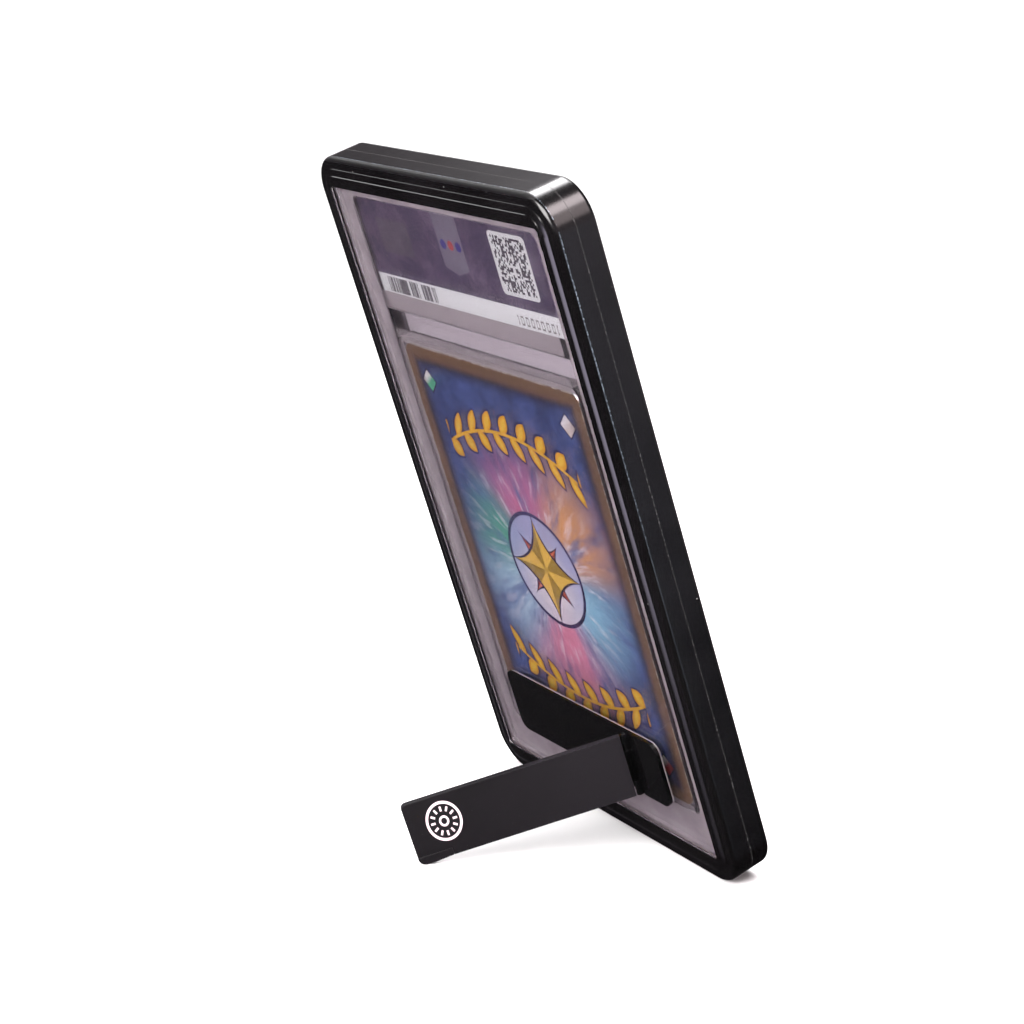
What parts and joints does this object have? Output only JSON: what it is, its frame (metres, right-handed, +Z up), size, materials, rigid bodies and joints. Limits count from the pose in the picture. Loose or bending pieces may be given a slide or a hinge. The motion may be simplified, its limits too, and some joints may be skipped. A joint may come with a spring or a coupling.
{
  "type": "trading card display case",
  "caption": "Slim two-part magnetic display case with clear windows round a slabbed trading card, standing leaned back on a fold-out leg.",
  "frame": {"origin": "on the surface that the case stands on, under the centre of its bounding box as it stands leaned back on its open leg", "axes": "+Z up, -Y the way the display front looks, +Y to the back where the leg stands, +X to the right seen from the front"},
  "size_m": [0.0852, 0.0578, 0.1363],
  "materials": {
    "frame": "black anodised, satin, fine grain",
    "acrylic": "clear, polished",
    "tape": "black bonding tape",
    "gasket": "fine closed-cell foam",
    "magnet": "nickel plated",
    "steel": "ground",
    "slab_plastic": "clear, moulded",
    "label_paper": "printed paper, satin",
    "card_stock": "printed card, satin",
    "adhesive_pad": "clear acrylic foam",
    "plate_plastic": "piano black",
    "leg_metal": "charcoal anodised, matte",
    "foot_rubber": "matte"
  },
  "bodies": {
    "back_half": {"back_frame": "frame", "back_window": "acrylic", "back_window_tape": "tape", "back_gasket": "gasket", "back_magnets": "magnet", "locating_pins": "steel", "stand_adhesive": "adhesive_pad", "stand_plate": "plate_plastic", "hinge_pin": "steel"},
    "front_half": {"front_frame": "frame", "front_window": "acrylic", "front_window_tape": "tape", "front_gasket": "gasket", "front_magnets": "magnet"},
    "slab": {"slab_rear_shell": "slab_plastic", "slab_front_shell": "slab_plastic", "slab_label": "label_paper", "trading_card": "card_stock"},
    "leg": {"stand_leg": "leg_metal", "leg_foot": "foot_rubber"}
  },
  "joints": [
    {"name": "front_half_lift", "type": "slide", "parent": "back_half", "child": "front_half", "axis": [0, -0.9483, 0.3173], "range_m": [0, 0.03]},
    {"name": "slab_lift", "type": "slide", "parent": "back_half", "child": "slab", "axis": [0, -0.9483, 0.3173], "range_m": [0, 0.015]},
    {"name": "leg_fold", "type": "hinge", "parent": "back_half", "child": "leg", "pos_m": [-0.0179, -0.01225, 0.01952], "axis": [0, -0.3173, -0.9483], "range_deg": [0, 65.3]}
  ],
  "couplings": [
    {"joint": "slab_lift", "follows": "front_half_lift", "ratio": 0.5}
  ]
}
